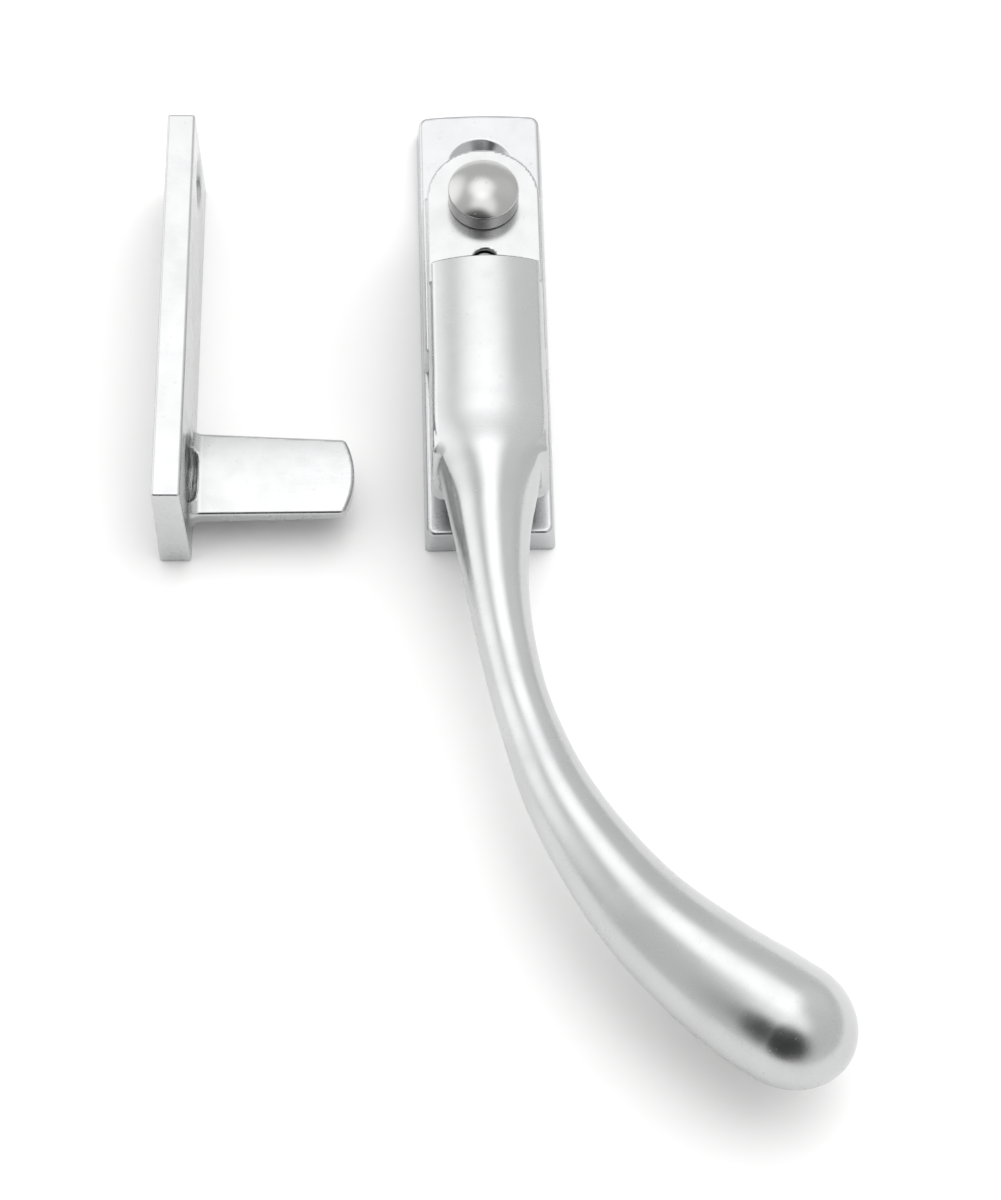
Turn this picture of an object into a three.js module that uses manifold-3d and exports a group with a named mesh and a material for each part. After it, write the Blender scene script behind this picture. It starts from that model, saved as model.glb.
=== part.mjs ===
// Casement window fastener: a pear-ended lever on a rear plate, and its hook plate.
// Millimetres, +Z up. The origin is on the rear plate's back face, midway between its two screw
// holes. +Y runs along the rear plate to the end that the pivot is at, and the lever hangs
// towards -Y. +X is the side that the lever's knob bends to, and the hook plate is on the other.

import * as THREE from 'three';
import { mergeVertices } from 'three/addons/utils/BufferGeometryUtils.js';
import Module from 'manifold-3d';

const wasm = await Module();
wasm.setup();

// ---- driving dimensions -------------------------------------------------------------------

const restGap = 0.05; // between pieces that touch
const turnGap = 0.15; // round a pin, and under a piece that turns

const plateWidth = 18;
const plateNearY = -34.3;
const plateFarY = 35.2;
const plateThickness = 4.4;
const plateEdge = 0.35; // lean of its sides, and round of its top edge
const plateCorner = 0.6;
const screwSpacing = 52.2; // between the rear plate's two screw holes
const screwHeadRadius = 4.5; // room for a No. 8 countersunk head
const screwShankRadius = 2.3;

const pivotY = 11.2;
const pinTenonRadius = 1.95; // of the pivot pin where it passes the plate and the block
const pinJournalRadius = 2.9; // where the lever turns on it
const pinNeckRadius = 1.9; // inside the cap
const pinShoulderTop = 17.2;
const pinTop = 19.6;
const clenchRecess = 1.35; // depth in the plate's back
const clenchBottom = 0.75;
const clenchRadius = 4;
const backClearance = 0.1; // of the clenched ends from the plane of the plate's back
const blockHalfWidth = 8.6;
const blockTop = 10.3;
const blockNearY = -8.7;
const blockFarY = 18.4;
const rivetX = 4.8;
const rivetY = -4.5;
const rivetRadius = 1.5;
const rivetHeadRadius = 2.3;
const rivetHeadTop = 1.1;
const rivetTop = 8.2;

const leverHalfWidth = 7.8; // at the top of its straight sides
const leverUnderside = 11.1;
const leverShoulder = 18; // top of the straight sides, and the level of the head's flat
const crownHeight = 1.95; // of the body above the shoulder
const leverAxisHeight = 13.4; // middle of the neck and the pear
const headEndOffset = 0.7; // head's round end is centred this far beyond the pivot
const stepY = 1.2; // where the head's flat meets the body's crown
const nosePivotGap = 22; // from the pivot to the nose's inner face, clear of the block's corner
const noseEndY = -30.9;
const noseUnderside = 8.2;
const noseCorner = 1.9; // round of its lower side edges
const noseDraft = 2.6; // how far the nose's end leans in from its bottom to its top

const lockScrewY = 1.65;
const lockHoleRadius = 1.75;
const lockScrewRadius = 1.6;
const lockPointRadius = 0.75;
const lockPointBottom = 10.8;
const lockPointHoleRadius = 1.05; // in the block, under the point
const lockPointHoleBottom = 7.6;
const lockSinkage = 1.1; // of the screw's top below the head's flat

const capRadius = 4.9;
const capSkirt = 2.45;
const capDome = 2;
const bushInner = 3.05;
const bushOuter = 3.6;
const bushTop = 16.95;
const leverBoreTop = 17.5;
const springRecessRadius = 4.1; // in the head's flat, under the cap
const springRecessBottom = 17.05;

const hookLength = 61;
const hookHeight = 18.8;
const hookThickness = 3.9; // at its top edge
const hookDraft = 0.5; // its front face leans out by this much from its top edge to its bottom
const hookNearLeft = [-45.4, -35.05]; // corner of the hook plate's back face
const hookYaw = THREE.MathUtils.degToRad(1.4); // the loose hook plate lies this far out of line
const tongueReach = 22.8;
const tongueNear = 3.4; // from the hook plate's near end to the tongue
const tongueRootWidth = 13.1;
const tongueTipWidth = 11.6;
const tongueTipRadius = 13;
const hookNearHole = 9.3; // from the near end
const hookFarHole = 54.8;
const hookScoop = 1.3; // how far the near hole's countersink runs into the tongue's root

// ---- materials ------------------------------------------------------------------------------

function finish(color, roughness, metalness) {
  return new THREE.MeshStandardMaterial({ color, roughness, metalness });
}

const satinChrome = () => finish(0xc9cbcc, 0.34, 1);
const brightSteel = () => finish(0x9fa3a6, 0.4, 1);
const springSteel = () => finish(0x7f8386, 0.35, 1);
const bushNylon = () => finish(0xd9d6cb, 0.55, 0);

// ---- solids from three.js geometry -----------------------------------------------------------

function toSolid(geometry) {
  geometry.deleteAttribute('normal');
  geometry.deleteAttribute('uv');
  const merged = mergeVertices(geometry, 1e-4);
  const shell = new wasm.Mesh({
    numProp: 3,
    vertProperties: new Float32Array(merged.attributes.position.array),
    triVerts: new Uint32Array(merged.index.array),
  });
  return new wasm.Manifold(shell);
}

function toMesh(name, solid, material) {
  const shell = solid.getMesh();
  const geometry = new THREE.BufferGeometry();
  geometry.setAttribute('position', new THREE.BufferAttribute(shell.vertProperties, 3));
  geometry.setIndex(new THREE.BufferAttribute(shell.triVerts, 1));
  geometry.computeVertexNormals();
  const mesh = new THREE.Mesh(geometry, material);
  mesh.name = name;
  return mesh;
}

// A body of revolution about Z through (x, y), from [radius, z] pairs that start and end on the axis.
function turned(pairs, x = 0, y = 0, segments = 48) {
  const profile = pairs.map(([radius, z]) => new THREE.Vector2(radius, z));
  const geometry = new THREE.LatheGeometry(profile, segments);
  geometry.rotateX(Math.PI / 2);
  geometry.translate(x, y, 0);
  return toSolid(geometry);
}

function pin(radius, bottom, top, x = 0, y = 0, segments = 48) {
  return turned([[0, bottom], [radius, bottom], [radius, top], [0, top]], x, y, segments);
}

function ring(inner, outer, bottom, top, x, y) {
  const hole = pin(inner, bottom - 1, top + 1, x, y);
  return pin(outer, bottom, top, x, y).subtract(hole);
}

// A closed skin over sections of equally many points, each wound anticlockwise seen from ahead.
function skin(sections) {
  const count = sections[0].length;
  const points = sections.flat();
  const faces = [];
  for (let row = 0; row + 1 < sections.length; row += 1) {
    for (let k = 0; k < count; k += 1) {
      const a = row * count + k;
      const b = row * count + ((k + 1) % count);
      faces.push(a, b, b + count);
      faces.push(a, b + count, a + count);
    }
  }
  const last = (sections.length - 1) * count;
  const centre = (section) => section.reduce((sum, p) => sum.add(p), new THREE.Vector3())
    .divideScalar(count);
  const startCentre = points.push(centre(sections[0])) - 1;
  const endCentre = points.push(centre(sections[sections.length - 1])) - 1;
  for (let k = 0; k < count; k += 1) {
    const next = (k + 1) % count;
    faces.push(startCentre, next, k);
    faces.push(endCentre, last + k, last + next);
  }
  const geometry = new THREE.BufferGeometry().setFromPoints(points);
  geometry.setIndex(faces);
  return toSolid(geometry);
}

// ---- outlines ----------------------------------------------------------------------------------

// A plate's outline with rounded corners and ends that bulge by endBulge.
function plateOutline(halfWidth, nearY, farY, cornerRadius, endBulge, z) {
  const shape = new THREE.Shape();
  const r = cornerRadius;
  shape.moveTo(halfWidth, nearY + r);
  shape.lineTo(halfWidth, farY - r - endBulge);
  shape.quadraticCurveTo(halfWidth, farY - endBulge, halfWidth - r, farY - endBulge * 0.8);
  shape.quadraticCurveTo(0, farY + endBulge * 0.8, -halfWidth + r, farY - endBulge * 0.8);
  shape.quadraticCurveTo(-halfWidth, farY - endBulge, -halfWidth, farY - r - endBulge);
  shape.lineTo(-halfWidth, nearY + r);
  shape.quadraticCurveTo(-halfWidth, nearY, -halfWidth + r, nearY);
  shape.lineTo(halfWidth - r, nearY);
  shape.quadraticCurveTo(halfWidth, nearY, halfWidth, nearY + r);
  const points = shape.getPoints(6);
  points.pop();
  return points.map((p) => new THREE.Vector3(p.x, p.y, z));
}

// A slab whose sides lean in by draft and whose top edge is rounded by edge.
function draftedSlab(halfWidth, nearY, farY, bottom, top, draft, edge, cornerRadius, endBulge) {
  const levels = [[0, bottom], [draft, top - edge]];
  for (const angle of [30, 60, 90]) {
    const turn = THREE.MathUtils.degToRad(angle);
    levels.push([draft + edge * (1 - Math.cos(turn)), top - edge * (1 - Math.sin(turn))]);
  }
  return skin(levels.map(([inset, z]) => plateOutline(
    halfWidth - inset, nearY + inset, farY - inset, cornerRadius, endBulge, z)));
}

// A countersunk screw hole, its axis along Z and its mouth at the top.
function countersink(x, y, bottom, top, headRadius, shankRadius) {
  const coneDepth = headRadius - shankRadius;
  return turned([
    [0, bottom - 1], [shankRadius, bottom - 1], [shankRadius, top - coneDepth],
    [headRadius, top], [headRadius, top + 3], [0, top + 3],
  ], x, y);
}

// ---- rear plate side ------------------------------------------------------------------------------

function rearPlate() {
  const farBulge = 0.5;
  let body = draftedSlab(plateWidth / 2, plateNearY, plateFarY, 0, plateThickness,
    plateEdge, plateEdge, plateCorner, farBulge);
  for (const y of [-screwSpacing / 2, screwSpacing / 2]) {
    body = body.subtract(countersink(0, y, 0, plateThickness, screwHeadRadius, screwShankRadius));
  }
  const above = plateThickness + 1;
  body = body.subtract(pin(pinTenonRadius + turnGap, -1, above, 0, pivotY));
  body = body.subtract(pin(clenchRadius + 0.2, -1, clenchRecess, 0, pivotY));
  for (const side of [-1, 1]) {
    const x = side * rivetX;
    body = body.subtract(pin(rivetRadius + 0.1, -1, above, x, rivetY));
    body = body.subtract(pin(rivetHeadRadius + 0.2, -1, rivetHeadTop + 0.1, x, rivetY));
  }
  return toMesh('rear_plate', body, satinChrome());
}

function pivotBlock() {
  const bottom = plateThickness + restGap;
  const draft = 0.2;
  const edge = 0.6;
  const cornerRadius = 0.8;
  const farBulge = 1.3;
  let body = draftedSlab(blockHalfWidth, blockNearY, blockFarY, bottom, blockTop,
    draft, edge, cornerRadius, farBulge);
  body = body.subtract(pin(pinTenonRadius + turnGap, 0, blockTop + 1, 0, pivotY));
  body = body.subtract(
    pin(lockPointHoleRadius, lockPointHoleBottom, blockTop + 1, 0, lockScrewY));
  for (const side of [-1, 1]) {
    body = body.subtract(pin(rivetRadius + 0.1, 0, rivetTop + 0.2, side * rivetX, rivetY));
  }
  return toMesh('pivot_block', body, satinChrome());
}

function blockRivet(name, side) {
  const body = turned([
    [0, backClearance], [rivetHeadRadius, backClearance], [rivetHeadRadius, rivetHeadTop],
    [rivetRadius, rivetHeadTop], [rivetRadius, rivetTop], [0, rivetTop],
  ], side * rivetX, rivetY);
  return toMesh(name, body, brightSteel());
}

function pivotPin() {
  const clenchTop = clenchBottom - restGap;
  const seat = blockTop + restGap;
  const body = turned([
    [0, backClearance], [2.6, backClearance], [3, 0.4], [3, clenchTop],
    [pinTenonRadius, clenchTop], [pinTenonRadius, seat],
    [pinJournalRadius, seat], [pinJournalRadius, pinShoulderTop],
    [pinNeckRadius, pinShoulderTop], [pinNeckRadius, pinTop], [0, pinTop],
  ], 0, pivotY);
  return toMesh('pivot_pin', body, brightSteel());
}

function clenchWasher() {
  const top = clenchRecess - restGap;
  const body = ring(pinTenonRadius + 0.1, clenchRadius, clenchBottom, top, 0, pivotY);
  return toMesh('clench_washer', body, brightSteel());
}

function thrustWasher() {
  const bottom = blockTop + restGap;
  const outer = 7;
  const body = ring(bushInner, outer, bottom, leverUnderside - turnGap, 0, pivotY);
  return toMesh('thrust_washer', body, brightSteel());
}

function waveWasher() {
  const bottom = pinShoulderTop + 0.1;
  const top = leverShoulder - 0.1;
  const outer = springRecessRadius - 0.2;
  const body = ring(pinNeckRadius + 0.2, outer, bottom, top, 0, pivotY);
  return toMesh('wave_washer', body, springSteel());
}

// The domed cap that covers the pin's end: a short skirt, then a shallow spherical dome.
function pivotCap() {
  const bottom = leverShoulder + turnGap;
  const rim = bottom + capSkirt;
  const sphere = (capRadius ** 2 + capDome ** 2) / (2 * capDome);
  const chamfer = 0.25;
  const profile = [
    [0, bottom], [capRadius - chamfer, bottom], [capRadius, bottom + chamfer], [capRadius, rim],
  ];
  const steps = 8;
  for (let k = 1; k <= steps; k += 1) {
    const radius = capRadius * (1 - k / steps);
    profile.push([radius, rim + capDome - sphere + Math.sqrt(sphere ** 2 - radius ** 2)]);
  }
  const socket = pin(pinNeckRadius + 0.08, bottom - 1, pinTop + 0.2, 0, pivotY);
  const body = turned(profile, 0, pivotY).subtract(socket);
  return toMesh('pivot_cap', body, satinChrome());
}

// ---- lever ------------------------------------------------------------------------------------------

function leverHead() {
  const bottomHalfWidth = leverHalfWidth + 0.2;
  const levels = [
    [bottomHalfWidth, leverUnderside], [leverHalfWidth, leverShoulder - 0.3],
    [leverHalfWidth - 0.1, leverShoulder - 0.1], [leverHalfWidth - 0.3, leverShoulder],
  ];
  const overlap = 3;
  const centreY = pivotY + headEndOffset;
  return skin(levels.map(([halfWidth, z]) => {
    const shape = new THREE.Shape();
    shape.moveTo(halfWidth, stepY - overlap);
    shape.lineTo(halfWidth, centreY);
    shape.absarc(0, centreY, halfWidth, 0, Math.PI, false);
    shape.lineTo(-halfWidth, stepY - overlap);
    const points = shape.getPoints(20);
    return points.map((p) => new THREE.Vector3(p.x, p.y, z));
  }));
}

// One section of the bar, as [across, height] pairs. A round of 0 is the D-shaped body with
// straight sides and a crown, and a round of 1 is a circle about the lever's axis.
function barSection(halfWidth, round) {
  const pairs = [];
  const perSide = 10;
  const sideShare = Math.atan2(leverShoulder - leverAxisHeight, halfWidth);
  const lowShare = Math.atan2(leverAxisHeight - leverUnderside, halfWidth);
  const mix = (a, b) => a + (b - a) * round;
  const put = (across, height, angle) => pairs.push([
    mix(across, halfWidth * Math.cos(angle)),
    mix(height, leverAxisHeight + halfWidth * Math.sin(angle)),
  ]);
  for (let k = 0; k < perSide; k += 1) { // crown, right to left
    const turn = (Math.PI * k) / perSide;
    const angle = sideShare + ((Math.PI - 2 * sideShare) * k) / perSide;
    put(halfWidth * Math.cos(turn), leverShoulder + crownHeight * Math.sin(turn), angle);
  }
  for (let k = 0; k < 4; k += 1) { // left side, downwards
    const angle = Math.PI - sideShare + ((sideShare + lowShare) * k) / 4;
    put(-halfWidth, leverShoulder + ((leverUnderside - leverShoulder) * k) / 4, angle);
  }
  for (let k = 0; k < perSide; k += 1) { // underside, left to right
    const angle = Math.PI + lowShare + ((Math.PI - 2 * lowShare) * k) / perSide;
    put(-halfWidth + (2 * halfWidth * k) / perSide, leverUnderside, angle);
  }
  for (let k = 0; k < 4; k += 1) { // right side, upwards
    const angle = 2 * Math.PI - lowShare + ((sideShare + lowShare) * k) / 4;
    put(halfWidth, leverUnderside + ((leverShoulder - leverUnderside) * k) / 4, angle);
  }
  return pairs;
}

// The bar's centreline: x and y of its middle, and its half width there as the third value.
const barLine = new THREE.CatmullRomCurve3([
  new THREE.Vector3(0, stepY, leverHalfWidth),
  new THREE.Vector3(0, -14, leverHalfWidth),
  new THREE.Vector3(0, -26.5, leverHalfWidth - 0.1),
  new THREE.Vector3(0, -31.5, 6.6),
  new THREE.Vector3(0, -38.5, 5.3),
  new THREE.Vector3(0.5, -47.5, 4.22),
  new THREE.Vector3(1.7, -56.5, 3.78),
  new THREE.Vector3(3.7, -65.7, 3.83),
  new THREE.Vector3(8.2, -78.4, 4.75),
  new THREE.Vector3(17.2, -93, 6.29),
  new THREE.Vector3(25.9, -102, 7.52),
  new THREE.Vector3(31.8, -106.8, 8.1),
  new THREE.Vector3(35.3, -109.3, 8.1),
]);

const roundStartY = -22.5; // where the D section starts to turn round
const roundEndY = -36;
const pearEndLength = 9.3;

function sectionAt(place, direction, halfWidth, round) {
  const across = new THREE.Vector2(-direction.y, direction.x);
  return barSection(halfWidth, round).map(([side, z]) => new THREE.Vector3(
    place.x + across.x * side, place.y + across.y * side, z));
}

function leverBar() {
  const sections = [];
  const steps = 64;
  for (let k = 0; k <= steps; k += 1) {
    const place = barLine.getPoint(k / steps);
    const tangent = barLine.getTangent(k / steps);
    const direction = new THREE.Vector2(tangent.x, tangent.y).normalize();
    const round = THREE.MathUtils.smoothstep(roundStartY - place.y, 0, roundStartY - roundEndY);
    sections.push(sectionAt(place, direction, place.z, round));
  }
  const end = barLine.getPoint(1);
  const tangent = barLine.getTangent(1);
  const direction = new THREE.Vector2(tangent.x, tangent.y).normalize();
  for (const angle of [12, 24, 36, 48, 60, 70, 79, 86]) {
    const turn = THREE.MathUtils.degToRad(angle);
    const reach = pearEndLength * Math.sin(turn);
    const place = { x: end.x + direction.x * reach, y: end.y + direction.y * reach };
    const scale = Math.cos(turn);
    sections.push(sectionAt(place, direction, end.z, 1).map((p) => new THREE.Vector3(
      THREE.MathUtils.lerp(place.x, p.x, scale),
      THREE.MathUtils.lerp(place.y, p.y, scale),
      THREE.MathUtils.lerp(leverAxisHeight, p.z, scale))));
  }
  return skin(sections);
}

// The nose under and round the bar that holds the hook plate's tongue down.
function leverNose() {
  const noseStartY = pivotY - nosePivotGap;
  const sideDraft = 0.25;
  const bottomHalfWidth = leverHalfWidth + sideDraft;
  const top = leverShoulder - 0.1;
  const steps = 4;
  const outline = [];
  for (const side of [-1, 1]) {
    for (let k = 0; k <= steps; k += 1) {
      const turn = (Math.PI / 2) * (side < 0 ? k / steps : 1 - k / steps);
      const x = side * (bottomHalfWidth - noseCorner * (1 - Math.cos(turn)));
      outline.push([x, noseUnderside + noseCorner * (1 - Math.sin(turn))]);
    }
  }
  outline.push([leverHalfWidth, top], [-leverHalfWidth, top]);
  const endAt = (z) => THREE.MathUtils.mapLinear(
    z, noseUnderside, top, noseEndY, noseEndY + noseDraft);
  return skin([
    outline.map(([x, z]) => new THREE.Vector3(x, noseStartY, z)),
    outline.map(([x, z]) => new THREE.Vector3(x, endAt(z), z)),
  ]);
}

function handleLever() {
  let body = leverHead().add(leverBar()).add(leverNose());
  const below = leverUnderside - 1;
  const above = leverShoulder + 1;
  body = body.subtract(pin(bushOuter + 0.1, below, leverBoreTop, 0, pivotY));
  body = body.subtract(pin(springRecessRadius, springRecessBottom, above, 0, pivotY));
  body = body.subtract(pin(lockHoleRadius, below, leverShoulder, 0, lockScrewY));
  return toMesh('handle_lever', body, satinChrome());
}

function pivotBush() {
  const bottom = leverUnderside + restGap;
  const body = ring(bushInner, bushOuter, bottom, bushTop, 0, pivotY);
  return toMesh('pivot_bush', body, bushNylon());
}

function lockScrew() {
  const top = leverShoulder - lockSinkage;
  const pointLength = 1.9;
  const pointTop = lockPointBottom + pointLength;
  const chamfer = 0.2;
  const body = turned([
    [0, lockPointBottom], [lockPointRadius, lockPointBottom], [lockPointRadius, pointTop],
    [lockScrewRadius, pointTop + 0.4], [lockScrewRadius, top - chamfer],
    [lockScrewRadius - chamfer, top], [0, top],
  ], 0, lockScrewY);
  const socketRadius = 1.05;
  const socketDepth = 2;
  const socket = pin(socketRadius, top - socketDepth, top + 1, 0, lockScrewY, 6);
  return toMesh('lock_screw', body.subtract(socket), brightSteel());
}

// ---- hook plate -----------------------------------------------------------------------------------

// A rounded rectangle across the tongue at distance x, from nearY to farY and from low to high.
function tongueSection(x, nearY, farY, low, high) {
  const r = Math.min(0.45, (farY - nearY) / 4);
  const corners = [[farY - r, high - r, 0], [nearY + r, high - r, 1], [nearY + r, low + r, 2],
    [farY - r, low + r, 3]];
  const points = [];
  for (const [y, z, quarter] of corners) {
    for (let k = 0; k <= 3; k += 1) {
      const turn = (Math.PI / 2) * (quarter + k / 3);
      points.push(new THREE.Vector3(x, y + r * Math.cos(turn), z + r * Math.sin(turn)));
    }
  }
  return points;
}

function tongue() {
  const rootFillet = 2;
  const middle = tongueNear + tongueRootWidth / 2;
  const stations = [-2, 0, 0.15, 0.4, 0.8, 1.3, 2, 6, 12, 18, 20.4, 21.3, 21.7, 22.1, 22.45, 22.7];
  return skin(stations.map((x) => {
    const along = Math.max(x, 0) / tongueReach;
    const inFillet = THREE.MathUtils.clamp(rootFillet - x, 0, rootFillet);
    const flare = rootFillet - Math.sqrt(rootFillet ** 2 - inFillet ** 2);
    const straight = THREE.MathUtils.lerp(tongueRootWidth, tongueTipWidth, along) / 2;
    const fromArcCentre = Math.max(x - (tongueReach - tongueTipRadius), 0);
    const arc = Math.sqrt(tongueTipRadius ** 2 - fromArcCentre ** 2);
    const half = Math.min(straight, arc) + flare * 0.8;
    const shift = -0.55 * along;
    const low = THREE.MathUtils.lerp(3.8, 5.1, along) - flare * 0.5;
    const high = THREE.MathUtils.lerp(7.4, 7.8, along) + flare * 0.6;
    return tongueSection(hookThickness + x, middle + shift - half, middle + shift + half, low, high);
  }));
}

// A screw hole through the hook plate, with its countersink in the face that the tongue is on.
function hookHole(y) {
  const shankRadius = screwShankRadius;
  const headRadius = screwHeadRadius;
  const coneDepth = headRadius - shankRadius;
  const face = hookThickness + hookDraft / 2;
  const profile = [
    [0, -1], [shankRadius, -1], [shankRadius, face - coneDepth],
    [headRadius, face], [headRadius, face + hookScoop], [0, face + hookScoop],
  ].map(([radius, x]) => new THREE.Vector2(radius, x));
  const geometry = new THREE.LatheGeometry(profile, 48);
  geometry.rotateZ(-Math.PI / 2);
  geometry.translate(0, y, hookHeight / 2);
  return toSolid(geometry);
}

function hookPlate() {
  const edge = 0.3;
  const atBottom = (x) => (x > hookThickness / 2 ? x + hookDraft : x);
  const slab = (inset, x) => [
    new THREE.Vector3(atBottom(x), inset, inset),
    new THREE.Vector3(atBottom(x), hookLength - inset, inset),
    new THREE.Vector3(x, hookLength - inset, hookHeight - inset),
    new THREE.Vector3(x, inset, hookHeight - inset),
  ];
  let body = skin([
    slab(edge, 0), slab(0, edge), slab(0, hookThickness - edge), slab(edge, hookThickness),
  ]);
  body = body.add(tongue());
  body = body.subtract(hookHole(hookNearHole));
  body = body.subtract(hookHole(hookFarHole));
  const mesh = toMesh('hook_plate', body, satinChrome());
  mesh.position.set(hookNearLeft[0], hookNearLeft[1], 0);
  mesh.rotation.z = -hookYaw;
  return mesh;
}

// ---- assembly --------------------------------------------------------------------------------------

const fastener = new THREE.Group();
fastener.add(
  rearPlate(),
  pivotBlock(),
  blockRivet('block_rivet_left', -1),
  blockRivet('block_rivet_right', 1),
  clenchWasher(),
  pivotPin(),
  thrustWasher(),
  waveWasher(),
  pivotCap(),
);

const lever = new THREE.Group();
lever.add(handleLever(), pivotBush(), lockScrew());
fastener.add(lever);
fastener.add(hookPlate());

export default fastener;
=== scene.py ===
# Looks for the casement window fastener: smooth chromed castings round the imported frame.
# Shapes are written as distance fields in millimetres, meshed, and scaled to metres.

import math

import bpy
import numpy as np
from mathutils import Matrix, Vector


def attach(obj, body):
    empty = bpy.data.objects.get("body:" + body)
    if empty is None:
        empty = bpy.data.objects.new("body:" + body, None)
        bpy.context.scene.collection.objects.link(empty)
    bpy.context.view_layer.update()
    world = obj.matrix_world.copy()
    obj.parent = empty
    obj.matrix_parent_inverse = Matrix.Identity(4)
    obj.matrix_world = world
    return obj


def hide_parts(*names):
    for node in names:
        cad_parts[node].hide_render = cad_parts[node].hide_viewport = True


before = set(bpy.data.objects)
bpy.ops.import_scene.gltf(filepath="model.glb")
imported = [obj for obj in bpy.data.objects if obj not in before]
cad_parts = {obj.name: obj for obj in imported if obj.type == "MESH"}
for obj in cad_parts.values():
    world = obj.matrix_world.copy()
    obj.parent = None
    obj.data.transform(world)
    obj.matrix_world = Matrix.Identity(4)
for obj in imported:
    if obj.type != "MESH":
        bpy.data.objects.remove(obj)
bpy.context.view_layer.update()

MM = 0.001

# ---- dimensions, in millimetres -----------------------------------------------------------------

PLATE_HALF_WIDTH = 9.0
PLATE_NEAR = -34.3
PLATE_FAR = 35.2
PLATE_CORNER = 0.6  # radius at its back
PLATE_CORNER_GROWTH = 0.7  # more radius at its top
PLATE_EDGE = 0.5
PLATE_TOP = 4.4
PLATE_DRAFT = 0.35
PLATE_FAR_BULGE = 0.5
SCREW_OFFSET = 26.1
SCREW_HEAD = 4.5
SCREW_SHANK = 2.3

PIVOT_Y = 11.2
PIN_TENON = 1.95
PIN_JOURNAL = 2.9
PIN_NECK = 1.9
PIN_BOTTOM = 0.1
PIN_SHOULDER = 17.2
PIN_TOP = 19.6
TENON_HOLE = 2.1
WASHER_HOLE = 4.2  # in the plate's back, round the clenched tail
WASHER_HOLE_DEPTH = 1.35
WASHER_BOTTOM = 0.75
BUSH_INNER = 3.05
BUSH_OUTER = 3.6
BUSH_TOP = 16.95
BLOCK_HALF_WIDTH = 8.6
BLOCK_NEAR = -8.7
BLOCK_FAR = 18.4
BLOCK_BOTTOM = 4.45
BLOCK_TOP = 10.3
BLOCK_FAR_BULGE = 1.3
BLOCK_DRAFT = 0.2
BLOCK_CORNER = 0.8
BLOCK_EDGE = 0.6
SEAT = 10.35  # where the pin and the thrust washer stand on the block
RIVET_X = 4.8
RIVET_Y = -4.5
RIVET_HOLE = 1.6
RIVET_HOLE_TOP = 8.4
RIVET_HEAD_HOLE = 2.5
RIVET_HEAD_HOLE_DEPTH = 1.2

LEVER_HALF_WIDTH = 7.8
LEVER_UNDERSIDE = 11.1
LEVER_SHOULDER = 18.0
LEVER_CROWN = 1.95
LEVER_EDGE = 0.9  # between its straight sides and its crown
LEVER_DRAFT = 0.2
LEVER_AXIS = 13.4
BUSH_HOLE = 3.7
BUSH_HOLE_TOP = 17.5
SPRING_HOLE = 4.1
SPRING_SEAT = 17.05
HEAD_CENTRE = 11.9
STEP_Y = 1.2
NOSE_START = -10.8
NOSE_END = -30.9
NOSE_BOTTOM = 8.2
NOSE_DRAFT = 2.6
NOSE_SIDE_DRAFT = 0.25
NOSE_CORNER = 1.9
ROUND_START = -22.5
ROUND_END = -36.0
PEAR_END = 9.3
BAR_LINE = (
    (0, 1.2, 7.8), (0, -14, 7.8), (0, -26.5, 7.7), (0, -31.5, 6.6), (0, -38.5, 5.3),
    (0.5, -47.5, 4.22), (1.7, -56.5, 3.78), (3.7, -65.7, 3.83), (8.2, -78.4, 4.75),
    (17.2, -93, 6.29), (25.9, -102, 7.52), (31.8, -106.8, 8.1), (35.3, -109.3, 8.1),
)  # x, y and half width along the lever's middle

LOCK_Y = 1.65
LOCK_HOLE = 1.75
LOCK_RADIUS = 1.6
LOCK_TOP = 17.2
LOCK_SHANK_BOTTOM = 13.1
LOCK_POINT = 0.75
LOCK_POINT_BOTTOM = 10.8
LOCK_POINT_HOLE = 1.05
LOCK_POINT_HOLE_BOTTOM = 7.6
LOCK_SOCKET = 0.92  # from the axis to the socket's flats
LOCK_SOCKET_FLOOR = 15.2

CAP_RADIUS = 4.9
CAP_BOTTOM = 18.15
CAP_SKIRT = 2.7
CAP_DOME = 1.7
CAP_SOCKET = 1.98
CAP_SOCKET_TOP = 19.8

HOOK_CORNER = (-45.4, -35.05)
HOOK_YAW = math.radians(-1.4)
HOOK_THICKNESS = 3.9
HOOK_DRAFT = 0.5
HOOK_LENGTH = 61.0
HOOK_HEIGHT = 18.8
HOOK_HOLES = (9.3, 54.8)  # from its near end
HOOK_HOLE_REACH = 1.3  # of the countersink, past the face and into the tongue's root
TONGUE_REACH = 22.8
TONGUE_WIDTH = (13.1, 11.6)  # at the root and the tip, as in the next two lines
TONGUE_BOTTOM = (3.8, 5.1)
TONGUE_TOP = (7.4, 7.8)
TONGUE_TIP = 13.0
TONGUE_MIDDLE = 9.95
TONGUE_SHIFT = 0.55  # of its middle, from root to tip
TONGUE_DRAFT = 0.14
TONGUE_CROWN = 48.0


# ---- distance fields ----------------------------------------------------------------------------

def both(a, b, r):
    """The part inside a and b, with the edge between them rounded to radius r."""
    return np.minimum(-r, np.maximum(a, b)) + np.hypot(np.maximum(r + a, 0), np.maximum(r + b, 0))


def joined(a, b, r):
    """a and b together, with a fillet of radius r between them."""
    return np.maximum(r, np.minimum(a, b)) - np.hypot(np.maximum(r - a, 0), np.maximum(r - b, 0))


def cut(a, hole, r=0.12):
    return both(a, -hole, r)


def smoothstep(t):
    t = np.clip(t, 0, 1)
    return t * t * (3 - 2 * t)


def mix(a, b, t):
    return a + (b - a) * t


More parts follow.
